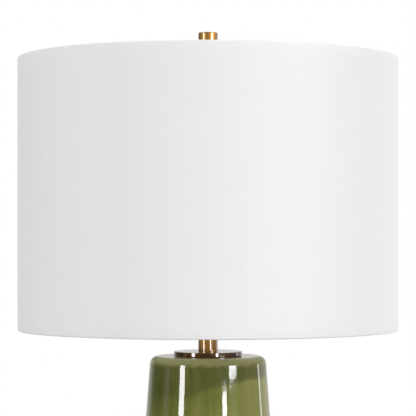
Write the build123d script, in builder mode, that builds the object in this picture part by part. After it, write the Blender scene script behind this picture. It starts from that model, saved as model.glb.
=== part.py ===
from build123d import *
import math
import os

# A table lamp: a tapered, hollow glazed jar on a felted foot, a brass disc and neck above it,
# a lamp socket with its turn switch and bulb, a wire harp, and a drum shade held by a finial.
# Millimetres. +Z is up, the origin is on the table under the middle of the jar,
# and the switch knob points to the front, -Y.

os.makedirs("parts", exist_ok=True)

# ---- jar ----
felt_thickness = 2.0
felt_inset = 1.0  # the felt's edge lies this far inside the foot's edge
jar_height = 351.0
jar_shoulder_radius = 61.75  # where the straight wall would meet the flat top
jar_taper = 4.26  # degrees, the wall's lean from upright, wider downwards
jar_straight = 258.0  # height of the straight part of the wall, from the top down
jar_wall = 6.0
jar_floor = 7.0
shoulder_fillet = 7.5
foot_radius = 60.0
foot_height = 18.0
foot_rim = 9.0  # width of the ring that the jar stands on
foot_recess = 26.0  # depth of the hollow under the jar
foot_bevel = 1.0

# ---- cord outlet at the back of the foot ----
outlet_height = 9.0  # above the foot's lower edge
grommet_radius = 5.0
grommet_bore = 3.6
grommet_flange_radius = 7.0
grommet_flange = 1.5
grommet_inside = 1.5  # how far the sleeve shows inside the foot
grommet_fit = 0.05

# ---- threaded pipe and what clamps it ----
pipe_radius = 4.8
pipe_bore = 3.5
pipe_clearance = 0.3
thread_fit = 0.05
pipe_below_nut = 2.0
pipe_above_collar = 1.2
nut_across_flats = 14.3
nut_bevel = 0.5
bottom_nut_height = 5.0
lock_washer_radius = 8.5
lock_washer_thickness = 2.0
lock_washer_gap = 1.2  # the split in the ring
bottom_washer_radius = 20.0
bottom_washer_thickness = 2.0

# ---- disc and neck ----
gasket_thickness = 0.8
gasket_inset = 2.0
disc_radius = 36.5
disc_thickness = 4.2
disc_bevel = 0.4
neck_radius = 10.4
neck_wall = 1.5
neck_length = 47.0
bushing_height = 4.0
neck_cap_thickness = 2.0
spigot_height = 4.0
neck_fit = 0.1

# ---- harp saddle ----
saddle_width = 14.0
saddle_thickness = 1.8
saddle_flat = 28.0  # length of the flat middle
saddle_rise = 16.2  # from the underside of the flat middle to the shoulders
saddle_bend = 4.0
saddle_post_radius = 3.2
saddle_post_height = 6.0
peg_height = 9.0
saddle_nut_height = 3.0

# ---- harp ----
harp_wire_radius = 1.9
harp_height = 228.6  # from the legs' lower ends to the shade's seat
harp_leg_spacing = 60.0
harp_width = 114.0
harp_flare = 48.0  # height over which a leg swings out to the full width
harp_flare_bend = 40.0
harp_side_bend = 60.0
harp_shoulder_drop = 62.0  # from the top wire down to where the sides lean in
harp_shoulder_bend = 70.0
harp_top_width = 60.0
harp_top_bend = 24.0
crown_radius = 6.0
crown_height = 5.0
ferrule_radius = 3.7
ferrule_length = 16.0
ferrule_lift = 14.0
ferrule_fit = 0.1
ferrule_bevel = 0.5
leg_spare = 10.0  # straight leg left above a lifted ferrule

# ---- harp stud and finial ----
stud_shank_radius = 2.4
stud_fit = 0.05
stud_rivet_radius = 4.0
stud_rivet_height = 1.3
stud_flange_radius = 7.5
stud_flange_height = 1.5
stud_thread_radius = 3.1
stud_thread_length = 10.0  # above the spider's hub
stud_bevel = 0.6
finial_radius = 10.4
finial_height = 35.2
finial_bevel = 0.6
finial_bore_spare = 2.0

# ---- shade ----
shade_radius = 203.2
shade_height = 290.0
shade_rim_rise = 10.0  # from the shade's seat up to its top edge
fabric_thickness = 0.8
liner_thickness = 0.8
hem_thickness = 0.8
hem_tail = 5.0  # how far the folded hem runs on past its wire
ring_wire_radius = 1.75
glue_gap = 0.05
hub_radius = 12.5
hub_thickness = 3.2
hub_clearance = 0.2
arm_radius = 1.4
arm_count = 3
arm_hole_gap = 0.2
back_angle = 90.0  # degrees, where the first arm points

# ---- socket ----
collar_radius = 7.8
collar_height = 7.0
collar_neck = 2.0  # the cap starts to widen this far below the collar's top
cap_radius = 17.8
cap_wall = 0.9
cap_cone_height = 11.5
cap_skirt = 6.0
shell_wall = 0.8
shell_height = 46.5
shell_fit = 0.1
insulator_thickness = 0.7
insulator_drop = 1.0
interior_height = 20.4
interior_fit = 0.2
interior_flat = 11.4  # distance of the terminal flats from the middle
terminal_flat_height = 11.0
terminal_height = 5.5
terminal_head_radius = 3.0
terminal_head = 1.5
terminal_shank_radius = 1.6
terminal_shank = 5.0
screw_slot = 0.8
screw_slot_depth = 0.6
screw_shell_radius = 13.9
screw_shell_wall = 0.55
screw_shell_height = 22.0
screw_shell_floor = 0.8
screw_shell_hole = 6.0
contact_radius = 3.5
contact_height = 1.6
set_screw_radius = 1.5
set_screw_proud = 1.6
screw_fit = 0.05

# ---- switch ----
switch_height = 12.4  # above the shell's lower edge
shaft_radius = 2.2
shaft_fit = 0.1
shaft_inner_end = 3.0
shaft_hole_radius = 3.5
knob_gap = 2.2
knob_length = 18.0
knob_inner_radius = 6.0
knob_taper = 1.0  # degrees
knob_bore_depth = 14.0
knob_bevel = 0.8
knob_groove_count = 14
knob_groove_radius = 0.6

# ---- bulb ----
bulb_tip_gap = 0.2
bulb_tip_radius = 4.2
bulb_tip_height = 1.2
bulb_cone_height = 3.5
bulb_cone_tip_radius = 5.0
bulb_cone_radius = 12.0
bulb_base_radius = 13.0
bulb_base_wall = 0.5
bulb_base_height = 22.0
bulb_neck_inside = 6.0  # how far the glass reaches down into the metal base
bulb_neck_above = 6.5
bulb_globe_radius = 30.0
bulb_length = 110.0
glass_thickness = 1.0
glass_fit = 0.2


def save(piece, name):
    piece.part.label = name
    export_step(piece.part, f"parts/{name}.step")


def flat_ring(bottom, thickness, outer_radius, hole_radius):
    with BuildPart() as ring:
        with BuildSketch(Plane.XY.offset(bottom)):
            Circle(outer_radius)
            Circle(hole_radius, mode=Mode.SUBTRACT)
        extrude(amount=thickness)
    return ring


def hex_nut(bottom, height):
    with BuildPart() as nut:
        with BuildSketch(Plane.XY.offset(bottom)):
            RegularPolygon(nut_across_flats / 2, 6, major_radius=False)
        extrude(amount=height)
        chamfer(nut.edges().filter_by(Plane.XY), nut_bevel)
        with BuildSketch(Plane.XY.offset(bottom)):
            Circle(pipe_radius + thread_fit)
        extrude(amount=height, mode=Mode.SUBTRACT)
    return nut


# ---- levels, from the table up ----
jar_bottom = felt_thickness
jar_top = jar_bottom + jar_height
recess_top = jar_bottom + foot_recess
floor_top = recess_top + jar_floor
gasket_top = jar_top + gasket_thickness
disc_top = gasket_top + disc_thickness
neck_top = disc_top + neck_length
neck_cap_top = neck_top + neck_cap_thickness
saddle_top = neck_cap_top + saddle_thickness
saddle_shoulder = neck_cap_top + saddle_rise
peg_top = saddle_shoulder + peg_height
cap_bottom = saddle_top + saddle_nut_height
collar_top = cap_bottom + collar_height
shade_seat = peg_top + harp_height
hub_top = shade_seat + hub_thickness
shade_top = shade_seat + shade_rim_rise
shade_bottom = shade_top - shade_height

pipe_hole = pipe_radius + pipe_clearance

# ---- the jar ----
lean = math.radians(jar_taper)
down_wall = Vector(math.sin(lean), -math.cos(lean))
into_wall = Vector(-math.cos(lean), -math.sin(lean))
wall_bend = Vector(jar_shoulder_radius + jar_straight * math.tan(lean), jar_top - jar_straight)
foot_corner = Vector(foot_radius, jar_bottom + foot_height)
# the lower wall is one arc that leaves the straight wall smoothly and ends at the foot
chord = foot_corner - wall_bend
curve_radius = chord.length**2 / (2 * chord.dot(into_wall))
curve_centre = wall_bend + into_wall * curve_radius
inner_bend = wall_bend + into_wall * jar_wall
inner_reach = math.sqrt((curve_radius - jar_wall) ** 2 - (floor_top - curve_centre.Y) ** 2)
inner_floor = Vector(curve_centre.X + inner_reach, floor_top)
ceiling = jar_top - jar_wall
inner_top = Vector(inner_bend.X - (ceiling - inner_bend.Y) * math.tan(lean), ceiling)
recess_radius = foot_radius - foot_rim
outlet_level = jar_bottom + outlet_height
outlet_plane = Plane(origin=(0, 0, outlet_level), x_dir=(1, 0, 0), z_dir=(0, 1, 0))

with BuildPart() as ceramic_body:
    with BuildSketch(Plane.XZ):
        with BuildLine():
            Polyline((0, jar_top), (0, jar_bottom), (foot_radius, jar_bottom), foot_corner)
            TangentArc(wall_bend, foot_corner, tangent=down_wall)
            Polyline(wall_bend, (jar_shoulder_radius, jar_top), (0, jar_top))
        make_face()
    revolve(axis=Axis.Z)
    fillet(ceramic_body.edges().filter_by(GeomType.CIRCLE).sort_by(Axis.Z)[-1], shoulder_fillet)
    chamfer(ceramic_body.edges().filter_by(GeomType.CIRCLE).sort_by(Axis.Z)[0], foot_bevel)
    with BuildSketch(Plane.XZ):
        with BuildLine():
            Polyline(inner_floor, (0, floor_top), (0, ceiling), inner_top, inner_bend)
            TangentArc(inner_bend, inner_floor, tangent=down_wall)
        make_face()
    revolve(axis=Axis.Z, mode=Mode.SUBTRACT)
    with BuildSketch(Plane.XY.offset(jar_bottom)):
        Circle(recess_radius)
    extrude(amount=foot_recess, mode=Mode.SUBTRACT)
    with BuildSketch(Plane.XY.offset(jar_bottom)):
        Circle(pipe_hole)
    extrude(amount=jar_height, mode=Mode.SUBTRACT)
    with BuildSketch(outlet_plane):
        Circle(grommet_radius)
    extrude(amount=foot_radius, mode=Mode.SUBTRACT)
save(ceramic_body, "ceramic_body")

felt_ring = flat_ring(0, felt_thickness, foot_radius - foot_bevel - felt_inset, recess_radius + felt_inset)
save(felt_ring, "felt_ring")

# ---- cord outlet grommet: a sleeve in the foot wall with a flange that follows the wall outside ----
sleeve_start = recess_radius - grommet_inside
flange_start = math.sqrt(foot_radius**2 - grommet_flange_radius**2)
flange_end = foot_radius + grommet_flange

with BuildPart() as cord_grommet:
    with BuildSketch(outlet_plane.offset(sleeve_start)):
        Circle(grommet_radius - grommet_fit)
    extrude(amount=flange_end - sleeve_start)
    with BuildSketch(outlet_plane.offset(flange_start)):
        Circle(grommet_flange_radius)
    extrude(amount=flange_end - flange_start)
    fillet(cord_grommet.edges().sort_by(Axis.Y)[-1], grommet_flange / 2)
    add(ceramic_body.part, mode=Mode.SUBTRACT)
    with BuildSketch(outlet_plane):
        Circle(grommet_bore)
    extrude(amount=flange_end, mode=Mode.SUBTRACT)
save(cord_grommet, "cord_grommet")

# ---- threaded pipe, clamped under the jar's floor ----
washer_bottom = recess_top - bottom_washer_thickness
lock_washer_bottom = washer_bottom - lock_washer_thickness
nut_bottom = lock_washer_bottom - bottom_nut_height
pipe_bottom = nut_bottom - pipe_below_nut
pipe_top = collar_top + pipe_above_collar

threaded_pipe = flat_ring(pipe_bottom, pipe_top - pipe_bottom, pipe_radius, pipe_bore)
save(threaded_pipe, "threaded_pipe")

bottom_washer = flat_ring(washer_bottom, bottom_washer_thickness, bottom_washer_radius, pipe_hole)
save(bottom_washer, "bottom_washer")

with BuildPart() as lock_washer:
    with BuildSketch(Plane.XY.offset(lock_washer_bottom)):
        Circle(lock_washer_radius)
        Circle(pipe_hole, mode=Mode.SUBTRACT)
        with Locations((lock_washer_radius / 2, 0)):
            Rectangle(lock_washer_radius, lock_washer_gap, mode=Mode.SUBTRACT)
    extrude(amount=lock_washer_thickness)
save(lock_washer, "lock_washer")

bottom_nut = hex_nut(nut_bottom, bottom_nut_height)
save(bottom_nut, "bottom_nut")

# ---- disc and neck ----
disc_gasket = flat_ring(jar_top, gasket_thickness, disc_radius - gasket_inset, pipe_hole)
save(disc_gasket, "disc_gasket")

with BuildPart() as brass_disc:
    with BuildSketch(Plane.XY.offset(gasket_top)):
        Circle(disc_radius)
    extrude(amount=disc_thickness)
    chamfer(brass_disc.edges().filter_by(GeomType.CIRCLE), disc_bevel)
    with BuildSketch(Plane.XY.offset(gasket_top)):
        Circle(pipe_hole)
    extrude(amount=disc_thickness, mode=Mode.SUBTRACT)
save(brass_disc, "brass_disc")

neck_bore = neck_radius - neck_wall
neck_tube = flat_ring(disc_top, neck_length, neck_radius, neck_bore)
save(neck_tube, "neck_tube")

neck_bushing = flat_ring(disc_top, bushing_height, neck_bore - neck_fit, pipe_hole)
save(neck_bushing, "neck_bushing")

with BuildPart() as neck_cap:
    with BuildSketch(Plane.XY.offset(neck_top)):
        Circle(neck_radius)
    extrude(amount=neck_cap_thickness)
    with BuildSketch(Plane.XY.offset(neck_top - spigot_height)):
        Circle(neck_bore - neck_fit)
    extrude(amount=spigot_height)
    with BuildSketch(Plane.XY.offset(neck_top - spigot_height)):
        Circle(pipe_hole)
    extrude(amount=spigot_height + neck_cap_thickness, mode=Mode.SUBTRACT)
save(neck_cap, "neck_cap")

# ---- harp saddle: a bent strip with a post and a peg at each end ----
leg_half = harp_leg_spacing / 2
flat_half = saddle_flat / 2
post_bottom = saddle_shoulder - saddle_post_height
strip_level = neck_cap_top + saddle_thickness / 2
ear_bottom = strip_level + (post_bottom - strip_level) / 2
strip_top = post_bottom + saddle_post_height / 2

with BuildPart() as harp_saddle:
    with BuildLine(Plane.XZ) as strip_path:
        FilletPolyline(
            (-leg_half, strip_top),
            (-leg_half, ear_bottom),
            (-flat_half, strip_level),
            (flat_half, strip_level),
            (leg_half, ear_bottom),
            (leg_half, strip_top),
            radius=saddle_bend,
        )
    with BuildSketch(Plane(origin=strip_path.line @ 0, x_dir=(0, 1, 0), z_dir=strip_path.line % 0)):
        Rectangle(saddle_width, saddle_thickness)
    sweep()
    for side in (-leg_half, leg_half):
        with BuildSketch(Plane.XY.offset(post_bottom)):
            with Locations((side, 0)):
                Circle(saddle_post_radius)
        extrude(amount=saddle_post_height)
        with BuildSketch(Plane.XY.offset(saddle_shoulder)):
            with Locations((side, 0)):
                Circle(harp_wire_radius)
        extrude(amount=peg_height)
    # the ears are no wider than the posts above them, so their corners are cut off
    for front in (-1, 1):
        with BuildSketch(Plane.YZ.offset(-leg_half - saddle_post_radius)):
            with BuildLine():
                Polyline(
                    (front * saddle_width, ear_bottom),
                    (front * saddle_width, saddle_shoulder),
                    (front * saddle_post_radius, saddle_shoulder),
                    (front * saddle_post_radius, post_bottom),
                    (front * saddle_width / 2, ear_bottom),
                    close=True,
                )
            make_face()
        extrude(amount=2 * (leg_half + saddle_post_radius), mode=Mode.SUBTRACT)
    with BuildSketch(Plane.XY.offset(neck_cap_top)):
        Circle(pipe_hole)
    extrude(amount=saddle_thickness, mode=Mode.SUBTRACT)
save(harp_saddle, "harp_saddle")

saddle_nut = hex_nut(saddle_top, saddle_nut_height)
save(saddle_nut, "saddle_nut")

# ---- harp: one bent wire with a crown that the stud turns in ----
bow_half = harp_width / 2
top_half = harp_top_width / 2
leg_straight = ferrule_length + ferrule_lift - peg_height + leg_spare
flare_bottom = peg_top + leg_straight
crown_top = shade_seat - stud_flange_height
crown_bottom = crown_top - crown_height
top_wire = crown_bottom + crown_height / 2

with BuildPart() as harp_bow:
    with BuildLine(Plane.XZ) as bow_path:
        FilletPolyline(
            (-leg_half, peg_top),
            (-leg_half, flare_bottom),
            (-bow_half, flare_bottom + harp_flare),
            (-bow_half, top_wire - harp_shoulder_drop),
            (-top_half, top_wire),
            (top_half, top_wire),
            (bow_half, top_wire - harp_shoulder_drop),
            (bow_half, flare_bottom + harp_flare),
            (leg_half, flare_bottom),
            (leg_half, peg_top),
            radius=(
                harp_flare_bend,
                harp_side_bend,
                harp_shoulder_bend,
                harp_top_bend,
                harp_top_bend,
                harp_shoulder_bend,
                harp_side_bend,
                harp_flare_bend,
            ),
        )
    with BuildSketch(Plane(origin=bow_path.line @ 0, x_dir=(1, 0, 0), z_dir=(0, 0, 1))):
        Circle(harp_wire_radius)
    sweep()
    with BuildSketch(Plane.XY.offset(crown_bottom)):
        Circle(crown_radius)
    extrude(amount=crown_height)
    with BuildSketch(Plane.XY.offset(crown_bottom)):
        Circle(stud_shank_radius + stud_fit)
    extrude(amount=crown_height, mode=Mode.SUBTRACT)
save(harp_bow, "harp_bow")

# ---- ferrules: sleeves that slide on the harp's legs and lock them to the saddle's pegs ----
for name, side in (("harp_ferrule_left", -leg_half), ("harp_ferrule_right", leg_half)):
    with BuildPart() as ferrule:
        with BuildSketch(Plane.XY.offset(saddle_shoulder)):
            with Locations((side, 0)):
                Circle(ferrule_radius)
        extrude(amount=ferrule_length)
        chamfer(ferrule.edges().filter_by(GeomType.CIRCLE), ferrule_bevel)
        with BuildSketch(Plane.XY.offset(saddle_shoulder)):
            with Locations((side, 0)):
                Circle(harp_wire_radius + ferrule_fit)
        extrude(amount=ferrule_length, mode=Mode.SUBTRACT)
    save(ferrule, name)

# ---- stud: riveted under the crown, flanged above it, threaded through the spider's hub ----
thread_top = hub_top + stud_thread_length

with BuildPart() as harp_stud:
    for bottom, top, radius in (
        (crown_bottom - stud_rivet_height, crown_bottom, stud_rivet_radius),
        (crown_bottom, crown_top, stud_shank_radius),
        (crown_top, shade_seat, stud_flange_radius),
        (shade_seat, thread_top, stud_thread_radius),
    ):
        with BuildSketch(Plane.XY.offset(bottom)):
            Circle(radius)
        extrude(amount=top - bottom)
    chamfer(harp_stud.edges().sort_by(Axis.Z)[-1], stud_bevel)
save(harp_stud, "harp_stud")

with BuildPart() as finial:
    with BuildSketch(Plane.XY.offset(hub_top)):
        Circle(finial_radius)
    extrude(amount=finial_height)
    chamfer(finial.edges().filter_by(GeomType.CIRCLE), finial_bevel)
    with BuildSketch(Plane.XY.offset(hub_top)):
        Circle(stud_thread_radius + stud_fit)
    extrude(amount=stud_thread_length + finial_bore_spare, mode=Mode.SUBTRACT)
save(finial, "finial")

# ---- shade: fabric outside, stiff liner inside, each edge folded over a wire ring ----
fabric_inner = shade_radius - fabric_thickness
liner_outer = fabric_inner - glue_gap
liner_inner = liner_outer - liner_thickness
sheet_bottom = shade_bottom + hem_thickness
sheet_height = shade_height - 2 * hem_thickness
ring_radius = liner_inner - glue_gap - ring_wire_radius
ring_depth = hem_thickness + glue_gap + ring_wire_radius  # wire centre, in from the edge


def ring_wire(edge, inward):
    with BuildPart() as wire:
        with BuildSketch(Plane.XZ):
            with Locations((ring_radius, edge + inward * ring_depth)):
                Circle(ring_wire_radius)
        revolve(axis=Axis.Z)
    return wire


def folded_hem(edge, inward):
    fold_outer = ring_radius - ring_wire_radius - glue_gap
    fold_inner = fold_outer - hem_thickness
    tail_end = liner_inner - glue_gap
    past_wire = ring_depth + ring_wire_radius
    tail_slope = hem_tail / (tail_end - fold_outer)
    tail_near = edge + inward * (past_wire + hem_tail)
    tail_far = edge + inward * (past_wire + tail_slope * (tail_end - fold_inner))
    with BuildPart() as hem:
        with BuildSketch(Plane.XZ):
            with BuildLine():
                Polyline(
                    (fold_inner, edge),
                    (shade_radius, edge),
                    (shade_radius, edge + inward * hem_thickness),
                    (fold_outer, edge + inward * hem_thickness),
                    (fold_outer, edge + inward * past_wire),
                    (tail_end, tail_near),
                    (tail_end, tail_far),
                    (fold_inner, edge + inward * past_wire),
                    close=True,
                )
            make_face()
        revolve(axis=Axis.Z)
    return hem


shade_fabric = flat_ring(sheet_bottom, sheet_height, shade_radius, fabric_inner)
save(shade_fabric, "shade_fabric")

shade_liner = flat_ring(sheet_bottom, sheet_height, liner_outer, liner_inner)
save(shade_liner, "shade_liner")

top_ring = ring_wire(shade_top, -1)
save(top_ring, "top_ring")

bottom_ring = ring_wire(shade_bottom, 1)
save(bottom_ring, "bottom_ring")

bottom_hem = folded_hem(shade_bottom, 1)
save(bottom_hem, "bottom_hem")

spider_hub = flat_ring(shade_seat, hub_thickness, hub_radius, stud_thread_radius + hub_clearance)
save(spider_hub, "spider_hub")

# each arm runs straight from the hub's edge to the top ring and is cut to both
arm_start = Vector(hub_radius - arm_radius, 0, shade_seat + hub_thickness / 2)
arm_end = Vector(ring_radius, 0, shade_top - ring_depth)
arm_way = arm_end - arm_start
arm_plane = Plane(origin=arm_start, x_dir=(0, 1, 0), z_dir=arm_way)


def radial_rods(rod_radius):
    with BuildPart() as rod:
        with BuildSketch(arm_plane):
            Circle(rod_radius)
        extrude(amount=arm_way.length)
        add(spider_hub.part, mode=Mode.SUBTRACT)
        add(top_ring.part, mode=Mode.SUBTRACT)
    with BuildPart() as rods:
        with PolarLocations(0, arm_count, start_angle=back_angle):
            add(rod.part)
    return rods


spider_arms = radial_rods(arm_radius)
save(spider_arms, "spider_arms")

arm_holes = radial_rods(arm_radius + arm_hole_gap)
top_fold = folded_hem(shade_top, -1)
with BuildPart() as top_hem:
    add(top_fold.part)
    add(arm_holes.part, mode=Mode.SUBTRACT)
save(top_hem, "top_hem")

# ---- socket cap: a collar screwed on the pipe, widening to a cup for the shell ----
cone_bottom = collar_top - collar_neck
cone_top = cone_bottom + cap_cone_height
cap_top = cone_top + cap_skirt
cap_inner = cap_radius - cap_wall
cone_run = cap_radius - collar_radius
cone_slope = cap_cone_height / cone_run
cone_wall_rise = cap_wall * math.hypot(cone_run, cap_cone_height) / cone_run
shell_bottom = cone_bottom + (cap_inner - collar_radius) * cone_slope + cone_wall_rise
cone_inner_start = collar_radius + (collar_neck - cone_wall_rise) / cone_slope
set_screw_level = cap_bottom + (collar_height - collar_neck) / 2
set_screw_start = pipe_radius + thread_fit
set_screw_end = collar_radius + set_screw_proud

with BuildPart() as socket_cap:
    with BuildSketch(Plane.XZ):
        with BuildLine():
            Polyline(
                (pipe_radius + thread_fit, cap_bottom),
                (collar_radius, cap_bottom),
                (collar_radius, cone_bottom),
                (cap_radius, cone_top),
                (cap_radius, cap_top),
                (cap_inner, cap_top),
                (cap_inner, shell_bottom),
                (cone_inner_start, collar_top),
                (pipe_radius + thread_fit, collar_top),
                close=True,
            )
        make_face()
    revolve(axis=Axis.Z)
    with BuildSketch(Plane(origin=(0, 0, set_screw_level), x_dir=(1, 0, 0), z_dir=(0, 1, 0))):
        Circle(set_screw_radius + screw_fit)
    extrude(amount=collar_radius, mode=Mode.SUBTRACT)
save(socket_cap, "socket_cap")

set_screw_plane = Plane(origin=(0, set_screw_start, set_screw_level), x_dir=(1, 0, 0), z_dir=(0, 1, 0))
with BuildPart() as cap_set_screw:
    with BuildSketch(set_screw_plane):
        Circle(set_screw_radius)
    extrude(amount=set_screw_end - set_screw_start)
    with BuildSketch(set_screw_plane.offset(set_screw_end - set_screw_start)):
        Rectangle(2 * set_screw_radius, screw_slot)
    extrude(amount=-screw_slot_depth, mode=Mode.SUBTRACT)
save(cap_set_screw, "cap_set_screw")

# ---- socket shell and its paper insulator, both slotted in front for the switch shaft ----
shell_radius = cap_inner - shell_fit
shell_inner = shell_radius - shell_wall
insulator_radius = shell_inner - shell_fit
insulator_inner = insulator_radius - insulator_thickness
switch_level = shell_bottom + switch_height


def slotted_tube(height, outer_radius, inner_radius):
    with BuildPart() as tube:
        with BuildSketch(Plane.XY.offset(shell_bottom)):
            Circle(outer_radius)
            Circle(inner_radius, mode=Mode.SUBTRACT)
        extrude(amount=height)
        with BuildSketch(Plane.XZ):
            with Locations((0, switch_level)):
                Circle(shaft_hole_radius)
            with Locations((0, shell_bottom + switch_height / 2)):
                Rectangle(2 * shaft_hole_radius, switch_height)
        extrude(amount=outer_radius, mode=Mode.SUBTRACT)
    return tube


socket_shell = slotted_tube(shell_height, shell_radius, shell_inner)
save(socket_shell, "socket_shell")

shell_insulator = slotted_tube(shell_height - insulator_drop, insulator_radius, insulator_inner)
save(shell_insulator, "shell_insulator")

# ---- socket interior: the moulded block with the switch, its terminals and the lamp contacts ----
interior_radius = insulator_inner - interior_fit
interior_top = shell_bottom + interior_height
terminal_level = shell_bottom + terminal_height
front_plane = Plane(origin=(0, 0, switch_level), x_dir=(1, 0, 0), z_dir=(0, -1, 0))

with BuildPart() as socket_interior:
    with BuildSketch(Plane.XY.offset(shell_bottom)):
        Circle(interior_radius)
    extrude(amount=interior_height)
    for side in (-1, 1):
        with BuildSketch(Plane.XY.offset(shell_bottom)):
            with Locations((side * (interior_flat + interior_radius) / 2, 0)):
                Rectangle(interior_radius - interior_flat, 2 * interior_radius)
        extrude(amount=terminal_flat_height, mode=Mode.SUBTRACT)
        shank_end = side * (interior_flat - terminal_shank)
        with BuildSketch(Plane(origin=(shank_end, 0, terminal_level), x_dir=(0, 1, 0), z_dir=(side, 0, 0))):
            Circle(terminal_shank_radius + screw_fit)
        extrude(amount=interior_radius, mode=Mode.SUBTRACT)
    with BuildSketch(front_plane.offset(shaft_inner_end - shaft_fit)):
        Circle(shaft_radius + shaft_fit)
    extrude(amount=interior_radius, mode=Mode.SUBTRACT)
save(socket_interior, "socket_interior")

with BuildPart() as terminal_screws:
    for side in (-1, 1):
        flat_point = (side * interior_flat, 0, terminal_level)
        head_plane = Plane(origin=flat_point, x_dir=(0, 1, 0), z_dir=(side, 0, 0))
        with BuildSketch(head_plane):
            Circle(terminal_head_radius)
        extrude(amount=terminal_head)
        with BuildSketch(head_plane):
            Circle(terminal_shank_radius)
        extrude(amount=-terminal_shank)
        with BuildSketch(head_plane.offset(terminal_head)):
            Rectangle(2 * terminal_head_radius, screw_slot)
        extrude(amount=-screw_slot_depth, mode=Mode.SUBTRACT)
save(terminal_screws, "terminal_screws")

with BuildPart() as screw_shell:
    with BuildSketch(Plane.XY.offset(interior_top)):
        Circle(screw_shell_radius)
    extrude(amount=screw_shell_height)
    with BuildSketch(Plane.XY.offset(interior_top + screw_shell_floor)):
        Circle(screw_shell_radius - screw_shell_wall)
    extrude(amount=screw_shell_height, mode=Mode.SUBTRACT)
    with BuildSketch(Plane.XY.offset(interior_top)):
        Circle(screw_shell_hole)
    extrude(amount=screw_shell_floor, mode=Mode.SUBTRACT)
save(screw_shell, "screw_shell")

with BuildPart() as center_contact:
    with BuildSketch(Plane.XY.offset(interior_top)):
        Circle(contact_radius)
    extrude(amount=contact_height)
save(center_contact, "center_contact")

# ---- switch: a shaft out of the socket's front and the grooved knob on it ----
knob_start = shell_radius + knob_gap
knob_end = knob_start + knob_length
knob_plane = front_plane.offset(knob_start)
knob_outer_radius = knob_inner_radius - knob_length * math.tan(math.radians(knob_taper))

with BuildPart() as switch_shaft:
    with BuildSketch(front_plane.offset(shaft_inner_end)):
        Circle(shaft_radius)
    extrude(amount=knob_start + knob_bore_depth - shaft_inner_end)
save(switch_shaft, "switch_shaft")

with BuildPart() as turn_knob:
    with BuildSketch(Plane.YZ):
        with BuildLine():
            Polyline(
                (-knob_start, switch_level),
                (-knob_start, switch_level + knob_inner_radius),
                (-knob_end + knob_bevel, switch_level + knob_outer_radius),
                (-knob_end, switch_level + knob_outer_radius - knob_bevel),
                (-knob_end, switch_level),
                close=True,
            )
        make_face()
    revolve(axis=Axis((0, 0, switch_level), (0, 1, 0)))
    with BuildSketch(knob_plane):
        with PolarLocations((knob_inner_radius + knob_outer_radius) / 2, knob_groove_count):
            Circle(knob_groove_radius)
    extrude(amount=knob_length, mode=Mode.SUBTRACT)
    with BuildSketch(knob_plane):
        Circle(shaft_radius + screw_fit)
    extrude(amount=knob_bore_depth, mode=Mode.SUBTRACT)
save(turn_knob, "turn_knob")

# ---- bulb: contact tip, insulating cone, screw base and hollow glass ----
bulb_bottom = interior_top + contact_height + bulb_tip_gap
cone_level = bulb_bottom + bulb_tip_height
base_bottom = cone_level + bulb_cone_height
base_top = base_bottom + bulb_base_height
glass_bottom = base_top - bulb_neck_inside
base_bore = bulb_base_radius - bulb_base_wall
glass_neck = base_bore - glass_fit
globe_top = bulb_bottom + bulb_length
globe_centre = Vector(0, globe_top - bulb_globe_radius)
neck_end = Vector(glass_neck, base_top + bulb_neck_above)
# the flank is the line from the neck's end that just touches the round globe
to_centre = globe_centre - neck_end
flank_length = math.sqrt(to_centre.length**2 - bulb_globe_radius**2)
flank_angle = math.atan2(to_centre.Y, to_centre.X) - math.asin(bulb_globe_radius / to_centre.length)
flank_end = neck_end + Vector(math.cos(flank_angle), math.sin(flank_angle)) * flank_length
flank_way = flank_end - neck_end

with BuildPart() as bulb_contact:
    with BuildSketch(Plane.XY.offset(bulb_bottom)):
        Circle(bulb_tip_radius)
    extrude(amount=bulb_tip_height)
    chamfer(bulb_contact.edges().sort_by(Axis.Z)[0], bulb_tip_height / 2)
save(bulb_contact, "bulb_contact")

with BuildPart() as bulb_insulator:
    with BuildSketch(Plane.XZ):
        with BuildLine():
            Polyline(
                (0, cone_level),
                (bulb_cone_tip_radius, cone_level),
                (bulb_cone_radius, base_bottom),
                (0, base_bottom),
                close=True,
            )
        make_face()
    revolve(axis=Axis.Z)
save(bulb_insulator, "bulb_insulator")

bulb_screw_base = flat_ring(base_bottom, bulb_base_height, bulb_base_radius, base_bore)
save(bulb_screw_base, "bulb_screw_base")

with BuildPart() as bulb_envelope:
    with BuildSketch(Plane.XZ):
        with BuildLine():
            Polyline((0, globe_top), (0, glass_bottom), (glass_neck, glass_bottom), neck_end, flank_end)
            TangentArc(flank_end, (0, globe_top), tangent=flank_way)
        make_face()
    revolve(axis=Axis.Z)
    offset(amount=-glass_thickness, openings=bulb_envelope.faces().sort_by(Axis.Z)[0])
save(bulb_envelope, "bulb_envelope")
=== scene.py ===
# Table lamp: glazed jar, brass disc and neck, socket, harp and a white linen drum shade.
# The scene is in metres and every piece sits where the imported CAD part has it.
# The shapes' dictionaries are in millimetres.
import math

import bmesh
import bpy
from mathutils import Matrix, Vector


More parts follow.
